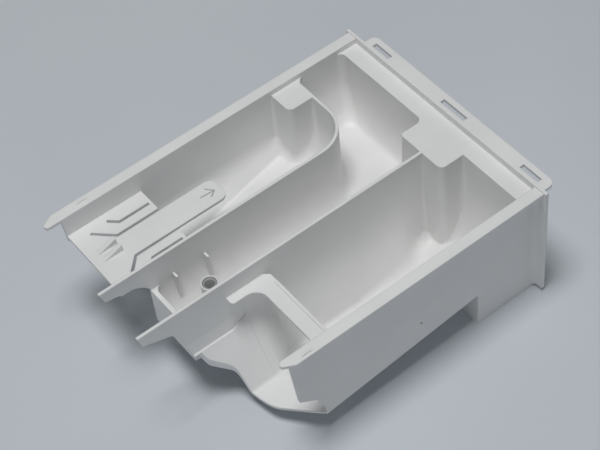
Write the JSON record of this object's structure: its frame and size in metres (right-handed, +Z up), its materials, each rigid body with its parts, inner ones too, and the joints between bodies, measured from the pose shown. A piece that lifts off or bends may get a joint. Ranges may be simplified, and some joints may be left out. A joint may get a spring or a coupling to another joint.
{
  "type": "detergent dispenser drawer",
  "caption": "Moulded drawer tray for a washing machine's detergent dispenser: open compartments, a bent partition, a pouring spout, a release tongue and slide rims.",
  "frame": {"origin": "under the middle of the outline, on the plane the front foot stands on", "axes": "+Y from the front plate to the open back, +Z up, +X towards the compartment with the release tongue"},
  "size_m": [0.194, 0.261, 0.097],
  "materials": {
    "moulded_plastic": "satin"
  },
  "bodies": {
    "root": {"drawer_tray": "moulded_plastic"}
  },
  "joints": []
}
